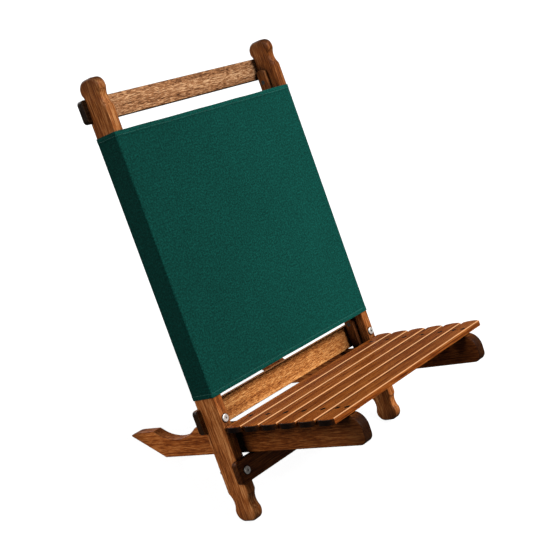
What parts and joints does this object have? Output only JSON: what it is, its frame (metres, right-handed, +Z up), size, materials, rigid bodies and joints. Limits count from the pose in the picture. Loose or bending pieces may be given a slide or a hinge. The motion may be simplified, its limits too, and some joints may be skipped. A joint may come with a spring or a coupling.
{
  "type": "two-piece camp chair",
  "caption": "Low two-piece wooden camp chair: reclined back frame with a canvas sling, and a slatted seat whose rails slide through it.",
  "frame": {"origin": "middle of the whole chair's footprint, on the ground", "axes": "+X to the right seen from the front, +Y rearward, +Z up; the sitter faces -Y"},
  "size_m": [0.5, 0.6467, 0.6979],
  "materials": {
    "hardwood": "oiled",
    "canvas": "woven",
    "nickel": "plated",
    "black_screws": "black oxide"
  },
  "bodies": {
    "back_section": {"left_upright": "hardwood", "right_upright": "hardwood", "left_canvas_batten": "hardwood", "right_canvas_batten": "hardwood", "top_rail": "hardwood", "lumbar_board": "hardwood", "front_cross_board": "hardwood", "back_canvas": "canvas", "lumbar_bolts": "nickel", "lumbar_washers": "nickel", "lumbar_cap_nuts": "nickel", "front_board_bolts": "nickel", "front_board_washers": "nickel", "front_board_cap_nuts": "nickel", "top_rail_screws": "black_screws", "left_batten_screws": "nickel", "right_batten_screws": "nickel"},
    "seat_section": {"left_seat_rail": "hardwood", "right_seat_rail": "hardwood", "seat_slat_1": "hardwood", "seat_slat_2": "hardwood", "seat_slat_3": "hardwood", "seat_slat_4": "hardwood", "seat_slat_5": "hardwood", "seat_slat_6": "hardwood", "left_slat_screws": "black_screws", "right_slat_screws": "black_screws"}
  },
  "joints": [
    {"name": "seat_slide", "type": "slide", "parent": "back_section", "child": "seat_section", "axis": [0, -0.8554, 0.518], "range_m": [0, 0.33]}
  ]
}
